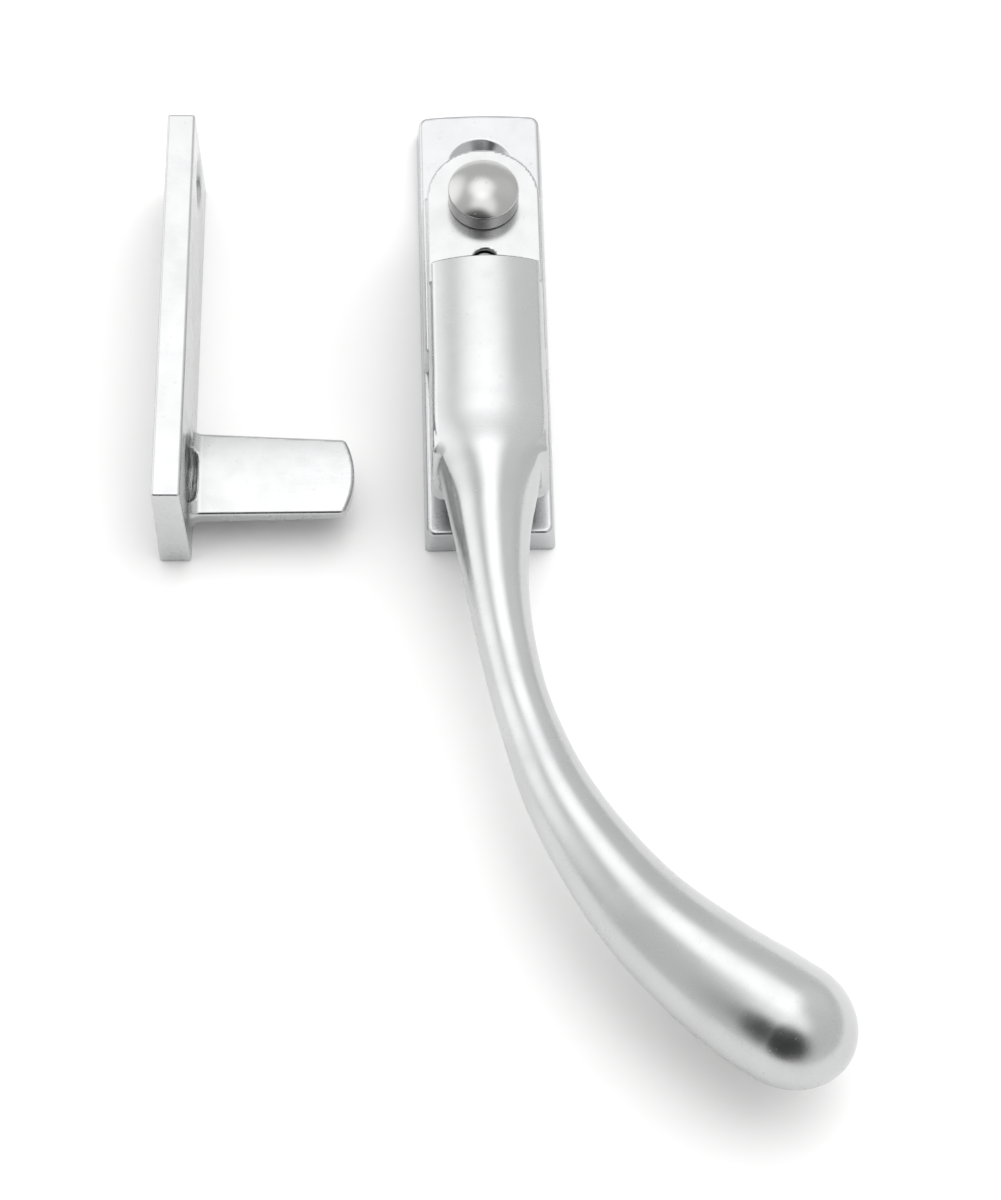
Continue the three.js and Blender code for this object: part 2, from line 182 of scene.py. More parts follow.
def rectangle(x, y, half_x, half_y, corner):
    qx = np.abs(x) - half_x + corner
    qy = np.abs(y) - half_y + corner
    outside = np.hypot(np.maximum(qx, 0), np.maximum(qy, 0))
    return outside + np.minimum(np.maximum(qx, qy), 0) - corner


def countersink(radius, depth, head, shank):
    """A screw hole's region, where depth is measured into the metal from the face."""
    cone = (radius - (head - np.maximum(depth, 0))) * math.sqrt(0.5)
    return np.minimum(radius - shank, cone)


def stepped_hole(radius, z, small, large, depth):
    """A hole of radius small, opened out to radius large below the height depth."""
    return np.minimum(radius - small, np.maximum(radius - large, z - depth))


def rear_plate(x, y, z):
    bulged = y + np.where(y > 0, PLATE_FAR_BULGE * (x / PLATE_HALF_WIDTH) ** 2, 0)
    inset = PLATE_DRAFT * z / PLATE_TOP
    middle = (PLATE_NEAR + PLATE_FAR) / 2
    half_length = (PLATE_FAR - PLATE_NEAR) / 2 - inset
    corner = PLATE_CORNER + PLATE_CORNER_GROWTH * np.clip(z / PLATE_TOP, 0, 1)
    body = rectangle(x, bulged - middle, PLATE_HALF_WIDTH - inset, half_length, corner)
    body = both(both(body, z - PLATE_TOP, PLATE_EDGE), -z, 0.15)
    for side in (-1, 1):
        radius = np.hypot(x, y - side * SCREW_OFFSET)
        body = cut(body, countersink(radius, PLATE_TOP - z, SCREW_HEAD, SCREW_SHANK))
    radius = np.hypot(x, y - PIVOT_Y)
    body = cut(body, stepped_hole(radius, z, TENON_HOLE, WASHER_HOLE, WASHER_HOLE_DEPTH))
    radius = np.hypot(np.abs(x) - RIVET_X, y - RIVET_Y)
    rivet = stepped_hole(radius, z, RIVET_HOLE, RIVET_HEAD_HOLE, RIVET_HEAD_HOLE_DEPTH)
    return cut(body, rivet, 0.05)


def pivot_block(x, y, z):
    middle = (BLOCK_NEAR + BLOCK_FAR) / 2
    bulged = y + np.where(y > middle, BLOCK_FAR_BULGE * (x / BLOCK_HALF_WIDTH) ** 2, 0)
    inset = BLOCK_DRAFT * (z - BLOCK_BOTTOM) / (BLOCK_TOP - BLOCK_BOTTOM)
    half_length = (BLOCK_FAR - BLOCK_NEAR) / 2 - inset
    body = rectangle(x, bulged - middle, BLOCK_HALF_WIDTH - inset, half_length, BLOCK_CORNER)
    body = both(both(body, z - BLOCK_TOP, BLOCK_EDGE), BLOCK_BOTTOM - z, 0.1)
    body = cut(body, np.hypot(x, y - PIVOT_Y) - TENON_HOLE)
    point = np.hypot(x, y - LOCK_Y) - LOCK_POINT_HOLE
    body = cut(body, np.maximum(point, LOCK_POINT_HOLE_BOTTOM - z))
    rivet = np.hypot(np.abs(x) - RIVET_X, y - RIVET_Y) - RIVET_HOLE
    return cut(body, np.maximum(rivet, z - RIVET_HOLE_TOP), 0.05)


def centreline():
    """The lever's middle line as a table: length along it, x, y, half width, and its direction."""
    ends = [2 * np.array(BAR_LINE[0]) - BAR_LINE[1], 2 * np.array(BAR_LINE[-1]) - BAR_LINE[-2]]
    points = np.array([ends[0], *BAR_LINE, ends[1]], float)
    rows = []
    for k in range(1, len(points) - 2):
        p = points[k - 1:k + 3]
        knots = [np.linalg.norm(p[i + 1] - p[i]) ** 0.5 for i in range(3)]
        start = (p[1] - p[0]) / knots[0] - (p[2] - p[0]) / (knots[0] + knots[1])
        end = (p[2] - p[1]) / knots[1] - (p[3] - p[1]) / (knots[1] + knots[2])
        start = (start + (p[2] - p[1]) / knots[1]) * knots[1]
        end = (end + (p[3] - p[2]) / knots[2]) * knots[1]
        t = np.linspace(0, 1, 60, endpoint=k == len(points) - 3)[:, None]
        rows.append(
            p[1] + start * t + (3 * (p[2] - p[1]) - 2 * start - end) * t ** 2
            + (2 * (p[1] - p[2]) + start + end) * t ** 3)
    line = np.concatenate(rows)
    steps = np.hypot(*np.diff(line[:, :2], axis=0).T)
    length = np.concatenate([[0], np.cumsum(steps)])
    direction = np.gradient(line[:, :2], length, axis=0)
    direction /= np.linalg.norm(direction, axis=1)[:, None]
    return length, line, direction


LENGTH, LINE, DIRECTION = centreline()
GRID_LOW = np.array([-12.0, -122.0])
GRID_SIZE = (60, 128)  # millimetre squares, each holding the nearest place on the line


def nearest_table():
    gx, gy = np.meshgrid(*(low + np.arange(n) for low, n in zip(GRID_LOW, GRID_SIZE)), indexing="ij")
    away = (gx[..., None] - LINE[:, 0]) ** 2 + (gy[..., None] - LINE[:, 1]) ** 2
    return LENGTH[away.argmin(-1)]


NEAREST = nearest_table()


def along_line(x, y):
    """For each point: length along the line, distance beyond its end, side distance, half width."""
    column = np.clip(np.rint(x - GRID_LOW[0]).astype(int), 0, GRID_SIZE[0] - 1)
    row = np.clip(np.rint(y - GRID_LOW[1]).astype(int), 0, GRID_SIZE[1] - 1)
    s = NEAREST[column, row]
    for _ in range(5):
        here = [np.interp(s, LENGTH, c) for c in (*LINE[:, :2].T, *DIRECTION.T)]
        ahead = (x - here[0]) * here[2] + (y - here[1]) * here[3]
        s = np.clip(s + ahead, 0, LENGTH[-1])
    cx, cy, tx, ty = (np.interp(s, LENGTH, c) for c in (*LINE[:, :2].T, *DIRECTION.T))
    ahead = (x - cx) * tx + (y - cy) * ty
    side = (y - cy) * tx - (x - cx) * ty
    return s, ahead, side, np.interp(s, LENGTH, LINE[:, 2])


def d_section(side, z, width):
    """The straight-sided section with a crown."""
    curve = (width ** 2 + LEVER_CROWN ** 2) / (2 * LEVER_CROWN)
    crown = np.hypot(side, z - (LEVER_SHOULDER + LEVER_CROWN - curve)) - curve
    draft = LEVER_DRAFT * (LEVER_SHOULDER - z) / (LEVER_SHOULDER - LEVER_UNDERSIDE)
    body = both(np.abs(side) - width - draft, crown, LEVER_EDGE)
    return both(body, LEVER_UNDERSIDE - z, 0.4)


def lever_bar(x, y, z):
    s, ahead, side, width = along_line(x, y)
    height = z - LEVER_AXIS
    tube = np.hypot(side, height) - width
    beyond = np.maximum(ahead, 0)
    end_width = LINE[-1, 2]
    end = np.sqrt((side ** 2 + height ** 2) / end_width ** 2 + (beyond / PEAR_END) ** 2)
    tube = np.where(s >= LENGTH[-1] - 1e-6, (end - 1) * end_width, tube)
    share = smoothstep((ROUND_START - y) / (ROUND_START - ROUND_END))
    bar = mix(d_section(side, z, width), tube, share)
    return both(bar, y - STEP_Y, 0.2)


def lever_head(x, y, z):
    draft = LEVER_DRAFT * (LEVER_SHOULDER - z) / (LEVER_SHOULDER - LEVER_UNDERSIDE)
    outline = np.hypot(x, np.maximum(y - HEAD_CENTRE, 0)) - LEVER_HALF_WIDTH - draft
    body = both(both(outline, z - LEVER_SHOULDER, 0.25), LEVER_UNDERSIDE - z, 0.3)
    return np.maximum(body, -2 - y)


def lever_nose(x, y, z):
    rise = LEVER_SHOULDER - NOSE_BOTTOM
    width = LEVER_HALF_WIDTH + NOSE_SIDE_DRAFT * (LEVER_SHOULDER - z) / rise
    end = NOSE_END + NOSE_DRAFT * (z - NOSE_BOTTOM) / rise
    slope = math.cos(math.atan(NOSE_DRAFT / rise))
    body = both(np.abs(x) - width, NOSE_BOTTOM - z, NOSE_CORNER)
    body = both(body, (end - y) * slope, 0.3)
    body = both(body, z - LEVER_SHOULDER, LEVER_EDGE)
    return both(body, y - NOSE_START, 0.3)


def handle_lever(x, y, z):
    fillet = 0.02 + 1.0 * smoothstep((-26 - y) / 3)
    body = joined(lever_bar(x, y, z), lever_nose(x, y, z), fillet)
    body = np.minimum(body, lever_head(x, y, z))
    radius = np.hypot(x, y - PIVOT_Y)
    body = cut(body, np.maximum(radius - BUSH_HOLE, z - BUSH_HOLE_TOP))
    body = cut(body, np.maximum(radius - SPRING_HOLE, SPRING_SEAT - z))
    lock = np.hypot(x, y - LOCK_Y) - LOCK_HOLE
    return cut(body, np.maximum(lock, z - LEVER_SHOULDER), 0.15)


def tongue(u, v, z):
    reach = np.maximum(u - HOOK_THICKNESS, 0)
    along = reach / TONGUE_REACH
    across = v - (TONGUE_MIDDLE - TONGUE_SHIFT * along)
    draft = TONGUE_DRAFT * (sum(TONGUE_TOP) / 2 - z)
    straight = np.abs(across) - mix(*TONGUE_WIDTH, along) / 2 + draft
    arc = np.hypot(np.maximum(reach - (TONGUE_REACH - TONGUE_TIP), 0), across) - TONGUE_TIP
    body = both(straight, arc, 0.5)
    crown = across ** 2 / (2 * TONGUE_CROWN)
    body = both(body, z - mix(*TONGUE_TOP, along) + crown, 0.5)
    body = both(body, mix(*TONGUE_BOTTOM, along) - z, 0.4)
    return np.maximum(body, 2 - u)


def hook_plate(u, v, z):
    face = HOOK_THICKNESS + HOOK_DRAFT * (1 - z / HOOK_HEIGHT)
    u_side = np.abs(u - face / 2) - face / 2
    v_side = np.abs(v - HOOK_LENGTH / 2) - HOOK_LENGTH / 2
    z_side = np.abs(z - HOOK_HEIGHT / 2) - HOOK_HEIGHT / 2
    body = both(both(u_side, v_side, 0.35), z_side, 0.35)
    body = joined(body, tongue(u, v, z), 1.6)
    for place in HOOK_HOLES:
        radius = np.hypot(v - place, z - HOOK_HEIGHT / 2)
        hole = countersink(radius, face - u, SCREW_HEAD, SCREW_SHANK)
        body = cut(body, both(hole, u - HOOK_THICKNESS - HOOK_HOLE_REACH, 1.0), 0.3)
    return body


def lock_screw(x, y, z):
    radius = np.hypot(x, y - LOCK_Y)
    shank = both(both(radius - LOCK_RADIUS, z - LOCK_TOP, 0.2), LOCK_SHANK_BOTTOM - z, 0.3)
    point = both(radius - LOCK_POINT, LOCK_POINT_BOTTOM - z, 0.15)
    body = np.minimum(shank, np.maximum(point, z - LOCK_SHANK_BOTTOM - 0.9))
    hexagon = np.maximum.reduce([
        x * math.cos(a) + (y - LOCK_Y) * math.sin(a) for a in np.radians(range(30, 390, 60))
    ]) - LOCK_SOCKET
    return cut(body, np.maximum(hexagon, LOCK_SOCKET_FLOOR - z), 0.06)


# ---- meshing ------------------------------------------------------------------------------------

def gradient(field, p, reach):
    columns = []
    for axis in range(3):
        step = np.zeros(3)
        step[axis] = reach
        columns.append(field(*(p + step).T) - field(*(p - step).T))
    return np.stack(columns, -1) / (2 * reach)


def skin(field, low, high, step):
    """Surface nets over the field's zero level, in blocks near the surface: points, quads, normals."""
    low = np.array(low, float)
    size = 8
    counts = np.ceil((np.array(high) - low) / (step * size)).astype(int) + 1
    blocks = np.stack(np.meshgrid(*map(np.arange, counts), indexing="ij"), -1).reshape(-1, 3)
    centres = low + (blocks + 0.5) * size * step
    near = np.abs(field(*centres.T)) < size * step * 1.5
    blocks = blocks[near]
    corner = np.arange(size + 1)
    local = np.stack(np.meshgrid(corner, corner, corner, indexing="ij"), -1)
    index = blocks[:, None, None, None] * size + local
    values = field(*(low + index.reshape(-1, 3) * step).T).reshape(index.shape[:-1])
    inside = values < 0
    strides = np.array([1, (counts[0] + 2) * size, (counts[0] + 2) * size * (counts[1] + 2) * size])

    cell = values[:, :-1, :-1, :-1].shape
    total = np.zeros((*cell, 3))
    crossings = np.zeros(cell)
    for axis in range(3):
        others = [k for k in range(3) if k != axis]
        for a in (0, 1):
            for b in (0, 1):
                start = [slice(None)] + [None] * 3
                start[1 + others[0]] = slice(a, size + a)
                start[1 + others[1]] = slice(b, size + b)
                start[1 + axis] = slice(0, size)
                stop = list(start)
                stop[1 + axis] = slice(1, size + 1)
                f0, f1 = values[tuple(start)], values[tuple(stop)]
                crossed = (f0 < 0) != (f1 < 0)
                share = np.where(crossed, f0 / np.where(crossed, f0 - f1, 1), 0)
                place = np.zeros((*cell, 3))
                place[..., axis] = share
                place[..., others[0]] = a
                place[..., others[1]] = b
                total += place * crossed[..., None]
                crossings += crossed
    active = crossings > 0
    cells = index[:, :-1, :-1, :-1][active]
    keys = cells @ strides
    points = low + (cells + total[active] / crossings[active][:, None]) * step
    order = np.argsort(keys)
    keys, points = keys[order], points[order]

    quads = []
    for axis in range(3):
        u, v = (axis + 1) % 3, (axis + 2) % 3
        start = inside[:, :-1, :-1, :-1]
        ahead = [slice(None)] + [slice(0, size)] * 3
        ahead[1 + axis] = slice(1, size + 1)
        crossed = start != inside[tuple(ahead)]
        at = index[:, :-1, :-1, :-1][crossed] @ strides
        outward = start[crossed]
        around = np.stack([
            at - strides[u] - strides[v], at - strides[v], at, at - strides[u]], -1)
        around[~outward] = around[~outward][:, ::-1]
        quads.append(around)
    quads = np.concatenate(quads)
    quads = np.searchsorted(keys, quads)

    for _ in range(4):
        slope = gradient(field, points, 0.02)
        move = field(*points.T)[:, None] * slope / np.maximum((slope ** 2).sum(1), 0.1)[:, None]
        points = points - np.clip(move, -0.5 * step, 0.5 * step)
    normals = gradient(field, points, 0.03)
    normals /= np.maximum(np.linalg.norm(normals, axis=1), 1e-9)[:, None]
    return points, quads, normals


def make_mesh(name, points, faces, normals, grain):
    """A mesh object in metres. grain holds each point's place along and across the polishing."""
    data = bpy.data.meshes.new(name)
    data.from_pydata((points * MM).tolist(), [], faces.tolist() if hasattr(faces, "tolist") else faces)
    attribute = data.attributes.new("grain", "FLOAT_VECTOR", "POINT")
    attribute.data.foreach_set("vector", (grain * MM).astype(np.float32).ravel())
    data.polygons.foreach_set("use_smooth", np.ones(len(data.polygons), bool))
    data.normals_split_custom_set_from_vertices(normals.tolist())
    piece = bpy.data.objects.new(name, data)
    bpy.context.scene.collection.objects.link(piece)
    return piece


def finish_piece(piece, body, node, material):
    piece.data.materials.append(material)
    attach(piece, body)
    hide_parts(node)
    return piece


def rounded_profile(corners):
    """Profile points and normals from (radius, height, rounding) corners, each rounding an arc."""
    corners = np.array(corners, float)
    places = corners[:, :2]
    edges = np.diff(places, axis=0)
    edges /= np.linalg.norm(edges, axis=1)[:, None]
    sides = np.stack([edges[:, 1], -edges[:, 0]], -1)
    points, normals = [places[0]], [sides[0]]
    for k in range(1, len(places) - 1):
        rounding = corners[k, 2]
        turn = math.atan2(
            edges[k - 1, 0] * edges[k, 1] - edges[k - 1, 1] * edges[k, 0], edges[k - 1] @ edges[k])
        if rounding == 0 or abs(turn) < 0.02:
            normal = sides[k - 1] + sides[k]
            points.append(places[k])
            normals.append(normal / np.linalg.norm(normal))
            continue
        sign = math.copysign(1, turn)
        start = places[k] - edges[k - 1] * rounding * math.tan(abs(turn) / 2)
        centre = start - sides[k - 1] * rounding * sign
        for share in np.linspace(0, 1, 7):
            c, s = math.cos(turn * share), math.sin(turn * share)
            normal = np.array([[c, -s], [s, c]]) @ sides[k - 1]
            points.append(centre + normal * rounding * sign)
            normals.append(normal)
    points.append(places[-1])
    normals.append(sides[-1])
    return np.array(points), np.array(normals)


def lathe(name, corners, x=0.0, y=0.0, segments=144, wave=None):
    """A turned piece. A profile that starts off the axis closes on itself, as a ring's does."""
    closed = corners[0][0] > 0
    if closed:
        corners = [*corners, corners[0]]
    profile, slopes = rounded_profile(corners)
    if closed:
        profile, slopes = profile[:-1], slopes[:-1]
    angles = np.linspace(0, 2 * math.pi, segments, endpoint=False)
    points, normals, rows = [], [], []
    for (radius, height), (out, up) in zip(profile, slopes):
        ring = 1 if radius < 1e-9 else segments
        rows.append((sum(len(p) for p in points), ring))
        turn = angles[:ring]
        lift = np.zeros(ring) if wave is None else wave(turn)
        points.append(np.stack([
            x + radius * np.cos(turn), y + radius * np.sin(turn), height + lift], -1))
        if ring == 1:
            normals.append(np.array([[0, 0, math.copysign(1, up)]]))
        else:
            normals.append(np.stack([
                out * np.cos(turn), out * np.sin(turn), np.full(ring, up)], -1))
    faces = []
    pairs = list(zip(rows, rows[1:])) + ([(rows[-1], rows[0])] if closed else [])
    for (a, size_a), (b, size_b) in pairs:
        for k in range(segments):
            n = (k + 1) % segments
            if size_a == 1:
                faces.append((a, b + n, b + k))
            elif size_b == 1:
                faces.append((a + k, a + n, b))
            else:
                faces.append((a + k, a + n, b + n, b + k))
    points = np.concatenate(points)
    grain = np.stack([
        np.hypot(points[:, 0] - x, points[:, 1] - y), points[:, 2],
        np.arctan2(points[:, 1] - y, points[:, 0] - x)], -1)
    return make_mesh(name, points, faces, np.concatenate(normals), grain)


# ---- materials ----------------------------------------------------------------------------------

class Nodes:
    """A short way to write a node tree."""

    def __init__(self, tree):
        self.tree = tree
        tree.nodes.clear()

    def add(self, kind, settings=None, **inputs):
        node = self.tree.nodes.new(kind)
        for key, value in (settings or {}).items():
            setattr(node, key, value)
        for key, value in inputs.items():
            socket = node.inputs[int(key[1:])] if key[0] == "_" else node.inputs[key.replace("_", " ")]
            if isinstance(value, bpy.types.NodeSocket):
                self.tree.links.new(value, socket)
            else:
                socket.default_value = value
        return node

    def math(self, operation, a, b=0.0, clamp=False):
        node = self.add("ShaderNodeMath", {"operation": operation, "use_clamp": clamp}, _0=a, _1=b)
        return node.outputs[0]

    def noise(self, place, scale, detail=2.0, roughness=0.5):
        node = self.add("ShaderNodeTexNoise", Vector=place, Scale=scale, Detail=detail,
                        Roughness=roughness)
        return node.outputs["Fac"]

    def ramp(self, value, low, high, to_low=0.0, to_high=1.0):
        node = self.add("ShaderNodeMapRange", Value=value, From_Min=low, From_Max=high,
                        To_Min=to_low, To_Max=to_high)
        return node.outputs[0]

    def tint(self, share, a, b):
        node = self.add("ShaderNodeMix", {"data_type": "RGBA"})
        self.tree.links.new(share, node.inputs[0])
        node.inputs[6].default_value = (*a, 1)
        node.inputs[7].default_value = (*b, 1)
        return node.outputs[2]


def satin_metal(name, light, dark, roughness, spread, marks, specks, wave):
    """Polished metal: colour between dark and light, fine marks across the grain, faint specks."""
    material = bpy.data.materials.new(name)
    material.use_nodes = True
    n = Nodes(material.node_tree)
    place = n.add("ShaderNodeTexCoord").outputs["Object"]
    grain = n.add("ShaderNodeAttribute", {"attribute_name": "grain"}).outputs["Vector"]
    stretched = n.add("ShaderNodeVectorMath", {"operation": "MULTIPLY"}, _0=grain, _1=(2600, 190, 190))
    lines = n.noise(stretched.outputs[0], 1.0, 3.0, 0.6)
    broad = n.noise(place, 70.0, 3.0)
    cloud = n.noise(place, 320.0, 4.0, 0.6)
    spots = n.ramp(n.noise(place, 1500.0, 2.0, 0.5), 0.67, 0.78)
    patches = n.ramp(n.noise(place, 130.0, 2.0), 0.45, 0.65)
    worn = n.math("MULTIPLY", lines, patches)

    colour = n.tint(n.ramp(broad, 0.3, 0.7), dark, light)
    rough = n.ramp(cloud, 0.25, 0.75, roughness - spread, roughness + spread)
    rough = n.math("ADD", rough, n.math("MULTIPLY", spots, specks * 0.35))
    rough = n.math("ADD", rough, n.math("MULTIPLY", worn, marks * 0.12), clamp=True)
    height = n.math("ADD", n.math("MULTIPLY", worn, marks), n.math("MULTIPLY", spots, -specks))
    height = n.math("ADD", height, n.math("MULTIPLY", cloud, 0.35))
    fine = n.add("ShaderNodeBump", Strength=0.35, Distance=0.000012, Height=height)
    soft = n.add("ShaderNodeBump", Strength=1.0, Distance=wave, Height=broad,
                 Normal=fine.outputs[0])
    shader = n.add("ShaderNodeBsdfPrincipled", Base_Color=colour, Roughness=rough,
                   Normal=soft.outputs[0])
    shader.inputs["Metallic"].default_value = 1.0
    n.add("ShaderNodeOutputMaterial", Surface=shader.outputs[0])
    return material


def moulded_nylon(name):
    material = bpy.data.materials.new(name)
    material.use_nodes = True
    n = Nodes(material.node_tree)
    place = n.add("ShaderNodeTexCoord").outputs["Object"]
    cloud = n.noise(place, 900.0, 3.0)
    colour = n.tint(n.ramp(cloud, 0.3, 0.7), (0.62, 0.6, 0.53), (0.7, 0.68, 0.61))
    bump = n.add("ShaderNodeBump", Strength=0.3, Distance=0.00002, Height=cloud)
    shader = n.add("ShaderNodeBsdfPrincipled", Base_Color=colour,
                   Roughness=n.ramp(cloud, 0.2, 0.8, 0.45, 0.6), Normal=bump.outputs[0])
    n.add("ShaderNodeOutputMaterial", Surface=shader.outputs[0])
    return material


CHROME = satin_metal(
    "satin_chrome", light=(0.575, 0.580, 0.583), dark=(0.53, 0.533, 0.535),
    roughness=0.24, spread=0.04, marks=1.0, specks=0.3, wave=0.00002)
PLATE_CHROME = satin_metal(
    "plate_chrome", light=(0.575, 0.580, 0.590), dark=(0.525, 0.531, 0.540),
    roughness=0.24, spread=0.04, marks=0.5, specks=0.4, wave=0.00003)
CAP_CHROME = satin_metal(
    "cap_chrome", light=(0.525, 0.525, 0.520), dark=(0.48, 0.48, 0.475),
    roughness=0.20, spread=0.04, marks=0.3, specks=0.7, wave=0.00001)
STEEL = satin_metal(
    "fixing_steel", light=(0.50, 0.50, 0.505), dark=(0.42, 0.425, 0.43),
    roughness=0.32, spread=0.06, marks=1.0, specks=0.6, wave=0.00002)
SPRING = satin_metal(
    "spring_steel", light=(0.28, 0.28, 0.285), dark=(0.22, 0.222, 0.23),
    roughness=0.3, spread=0.06, marks=1.0, specks=0.6, wave=0.00002)
NYLON = moulded_nylon("bush_nylon")


# ---- castings -----------------------------------------------------------------------------------

def casting(name, field, low, high, step, grain, turn=0.0, corner=(0.0, 0.0)):
    points, quads, normals = skin(field, low, high, step)
    along = grain(*points.T)
    c, s = math.cos(turn), math.sin(turn)
    spin = np.array([[c, -s, 0], [s, c, 0], [0, 0, 1]])
    points = points @ spin.T + np.array([*corner, 0])
    return make_mesh(name, points, quads, normals @ spin.T, np.stack(along, -1))


def lever_grain(x, y, z):
    s, ahead, side, width = along_line(x, y)
    return s + np.maximum(ahead, 0), np.arctan2(side, z - LEVER_AXIS) * width, z * 0


lever = casting("lever_casting", handle_lever, (-8.6, -118.6, 4.6), (45, 20.4, 22), 0.3, lever_grain)
finish_piece(lever, "lever", "handle_lever", CHROME)
plate = casting("rear_plate_casting", rear_plate, (-9.6, -34.9, -0.6), (9.6, 35.8, 5), 0.26,
                lambda x, y, z: (y, x, z))
finish_piece(plate, "rear", "rear_plate", PLATE_CHROME)
block = casting("pivot_block_casting", pivot_block, (-9.2, -9.3, 3.9), (9.2, 19, 10.9), 0.26,
                lambda x, y, z: (y, x, z))
finish_piece(block, "rear", "pivot_block", PLATE_CHROME)
hook = casting("hook_casting", hook_plate, (-0.6, -0.6, -0.6), (27.3, 61.6, 19.4), 0.28,
               lambda u, v, z: (v, z, u), HOOK_YAW, HOOK_CORNER)
finish_piece(hook, "hook", "hook_plate", CHROME)
screw = casting("lock_screw_turned", lock_screw, (-2, -0.4, 10.4), (2, 3.8, 17.3), 0.09,
                lambda x, y, z: (z, x, y))
finish_piece(screw, "lock", "lock_screw", STEEL)

# ---- turned pieces ------------------------------------------------------------------------------

def flat_ring(name, inner, outer, bottom, top, rounding, wave=None):
    corners = [(outer, bottom), (outer, top), (inner, top), (inner, bottom)]
    return lathe(name, [(*corner, rounding) for corner in corners], 0, PIVOT_Y, wave=wave)


rim = CAP_BOTTOM + CAP_SKIRT
sphere = (CAP_RADIUS ** 2 + CAP_DOME ** 2) / (2 * CAP_DOME)
dome = [
    (r, rim + CAP_DOME - sphere + math.sqrt(sphere ** 2 - r ** 2), 0.45 if k == 0 else 0)
    for k, r in enumerate(np.linspace(CAP_RADIUS, 0, 25))
]
cap = lathe("cap_turned", [
    (0, CAP_SOCKET_TOP, 0), (CAP_SOCKET, CAP_SOCKET_TOP, 0.05), (CAP_SOCKET, CAP_BOTTOM, 0.05),
    (CAP_RADIUS, CAP_BOTTOM, 0.2), *dome], 0, PIVOT_Y)
finish_piece(cap, "rear", "pivot_cap", CAP_CHROME)
pin = lathe("pin_turned", [
    (0, PIN_BOTTOM, 0), (2.85, PIN_BOTTOM, 0.25), (3, 0.7, 0.08), (PIN_TENON, 0.7, 0.05),
    (PIN_TENON, SEAT, 0.05), (PIN_JOURNAL, SEAT, 0.15), (PIN_JOURNAL, PIN_SHOULDER, 0.15),
    (PIN_NECK, PIN_SHOULDER, 0.1), (PIN_NECK, PIN_TOP, 0.3), (0, PIN_TOP, 0),
], 0, PIVOT_Y)
finish_piece(pin, "rear", "pivot_pin", STEEL)
clench = flat_ring("clench_washer_stamped", 2.05, 4, WASHER_BOTTOM, 1.3, 0.08)
finish_piece(clench, "rear", "clench_washer", STEEL)
thrust = flat_ring("thrust_washer_stamped", BUSH_INNER, 7, SEAT, 10.95, 0.1)
finish_piece(thrust, "rear", "thrust_washer", STEEL)
wavy = flat_ring("wave_washer_spring", 2.1, 3.9, 17.48, 17.72, 0.06, lambda turn: 0.16 * np.cos(3 * turn))
finish_piece(wavy, "rear", "wave_washer", SPRING)
bush = flat_ring("bush_moulded", BUSH_INNER, BUSH_OUTER, 11.15, BUSH_TOP, 0.08)
finish_piece(bush, "lever", "pivot_bush", NYLON)
for side_name, side in (("left", -1), ("right", 1)):
    rivet = lathe(f"rivet_{side_name}_clenched", [
        (0, 0.1, 0), (2.3, 0.1, 0.3), (2.3, 1.1, 0.08), (1.5, 1.1, 0.05), (1.5, 8.2, 0.2),
        (0, 8.2, 0)], side * RIVET_X, RIVET_Y, 72)
    finish_piece(rivet, "rear", f"block_rivet_{side_name}", STEEL)

# ---- camera, floor and light --------------------------------------------------------------------

CAMERA_ELEVATION = math.radians(62.795)
CAMERA_AZIMUTH = math.radians(-2.839)
CAMERA_ROLL = math.radians(1.49)
CAMERA_TARGET = Vector((1.20, -41.95, 0)) * MM
CAMERA_DISTANCE = 524.28 * MM
CAMERA_LENS = 115.07

back = Vector((
    math.sin(CAMERA_AZIMUTH) * math.cos(CAMERA_ELEVATION),
    -math.cos(CAMERA_AZIMUTH) * math.cos(CAMERA_ELEVATION),
    math.sin(CAMERA_ELEVATION)))
right = Vector((0, 0, 1)).cross(back).normalized()
up = back.cross(right)
c, s = math.cos(CAMERA_ROLL), math.sin(CAMERA_ROLL)
right, up = right * c + up * s, up * c - right * s
camera_data = bpy.data.cameras.new("camera")
camera_data.lens = CAMERA_LENS
camera_data.sensor_width = 36
camera_data.clip_start = 0.01
camera = bpy.data.objects.new("camera", camera_data)
camera.matrix_world = Matrix.Translation(CAMERA_TARGET + back * CAMERA_DISTANCE) @ Matrix(
    (right, up, back)).transposed().to_4x4()
bpy.context.scene.collection.objects.link(camera)
bpy.context.scene.camera = camera

FLOOR_HALF = 6.0
floor_data = bpy.data.meshes.new("floor")
floor_data.from_pydata([
    (-FLOOR_HALF, -FLOOR_HALF, 0), (FLOOR_HALF, -FLOOR_HALF, 0),
    (FLOOR_HALF, FLOOR_HALF, 0), (-FLOOR_HALF, FLOOR_HALF, 0)], [], [(0, 1, 2, 3)])
floor = bpy.data.objects.new("floor", floor_data)
floor.location.z = -0.00005
bpy.context.scene.collection.objects.link(floor)
paper = bpy.data.materials.new("floor_paper")
paper.use_nodes = True
n = Nodes(paper.node_tree)
fibre = n.noise(n.add("ShaderNodeTexCoord").outputs["Object"], 400.0, 3.0)
shader = n.add("ShaderNodeBsdfPrincipled", Roughness=0.9,
               Base_Color=n.tint(fibre, (0.94, 0.94, 0.935), (0.955, 0.955, 0.95)))
n.add("ShaderNodeOutputMaterial", Surface=shader.outputs[0])
floor.data.materials.append(paper)

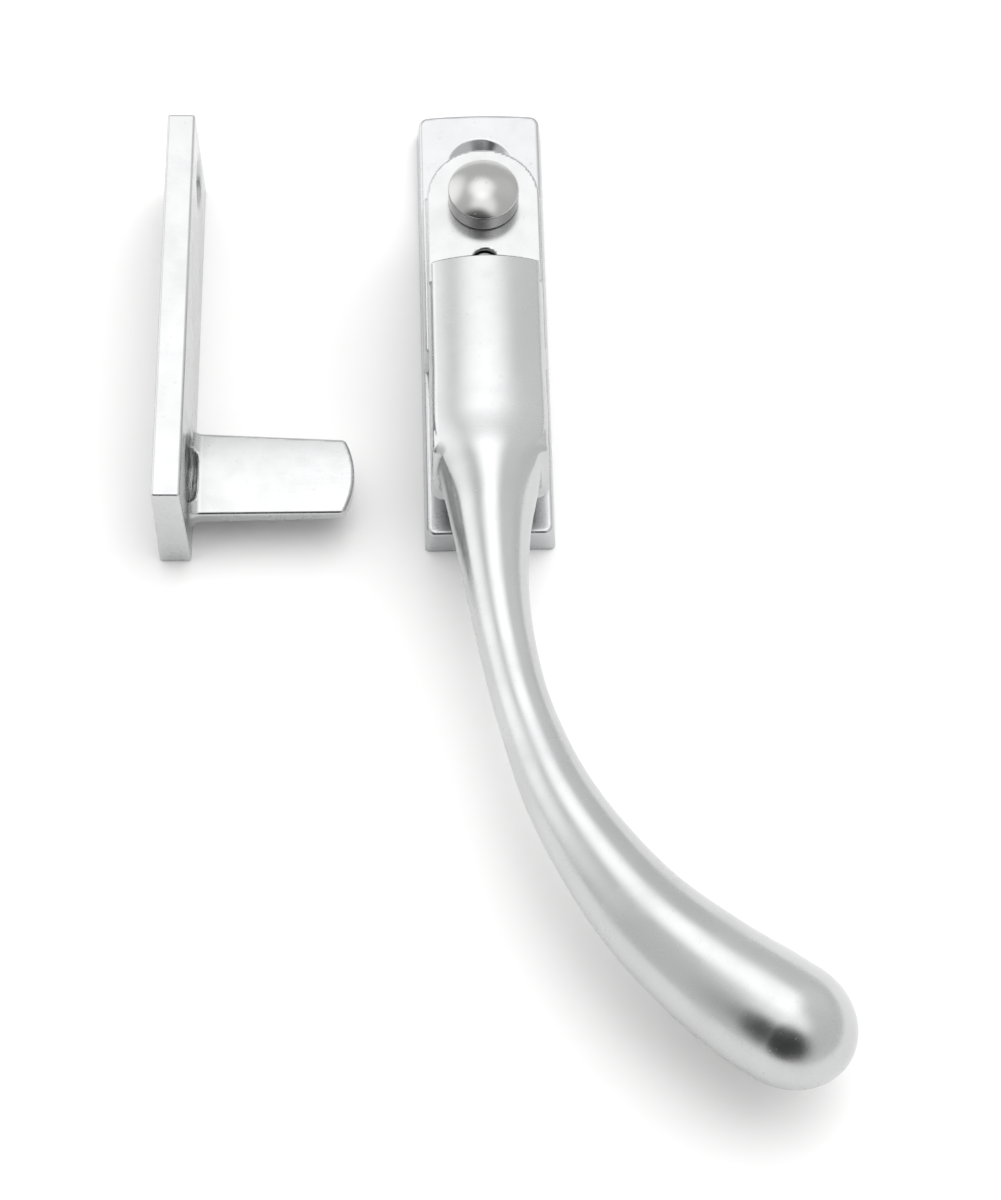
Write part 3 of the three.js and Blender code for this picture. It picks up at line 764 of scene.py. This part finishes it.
world = bpy.data.worlds.new("studio")
bpy.context.scene.world = world
world.use_nodes = True
n = Nodes(world.node_tree)
direction = n.add("ShaderNodeTexCoord").outputs["Generated"]


def towards(vector, inner, outer):
    """1 within inner degrees of a direction, falling to 0 at outer degrees."""
    unit = Vector(vector).normalized()
    dot = n.add("ShaderNodeVectorMath", {"operation": "DOT_PRODUCT"}, _0=direction, _1=unit)
    node = n.add("ShaderNodeMapRange", {"interpolation_type": "SMOOTHSTEP"},
                 Value=dot.outputs["Value"],
                 From_Min=math.cos(math.radians(outer)), From_Max=math.cos(math.radians(inner)))
    return node.outputs[0]


BASE_LEVEL = 0.77
GLOWS = (  # direction, full and zero angles in degrees, and brightness
    ((-0.05, 0.36, 0.93), 5, 30, 1.05),
    ((0, -0.30, 0.95), 8, 34, 0.75),
    ((-0.84, 0.45, 0.30), 8, 37, 0.85),
    ((0.6, 0.45, 0.66), 5, 30, 0.12),
)
DARK_AREA = ((-0.20, -0.82, 0.55), 25, 40)  # the dark part of the room, behind the camera's side
DARK_AREA_LOSS = 0.93
WORLD_LEVEL = 1.06

level = BASE_LEVEL
for where, inner, outer, amount in GLOWS:
    level = n.math("ADD", n.math("MULTIPLY", towards(where, inner, outer), amount), level)
shade = n.math("MULTIPLY", towards(*DARK_AREA), -DARK_AREA_LOSS)
level = n.math("MULTIPLY", level, n.math("ADD", shade, 1.0))
level = n.math("MULTIPLY", level, WORLD_LEVEL)
background = n.add("ShaderNodeBackground", Color=(1, 1, 1, 1), Strength=level)
n.add("ShaderNodeOutputWorld", Surface=background.outputs[0])


def softbox(name, place, size, power):
    data = bpy.data.lights.new(name, "AREA")
    data.shape = "DISK"
    data.size = size
    data.energy = power
    light = bpy.data.objects.new(name, data)
    light.location = place
    light.rotation_euler = Vector(place).to_track_quat("Z", "Y").to_euler()
    light.visible_glossy = False
    bpy.context.scene.collection.objects.link(light)


softbox("key", (0.4, 0.3, 0.9), 1.2, 5.0)

bpy.context.scene.view_settings.view_transform = "Standard"
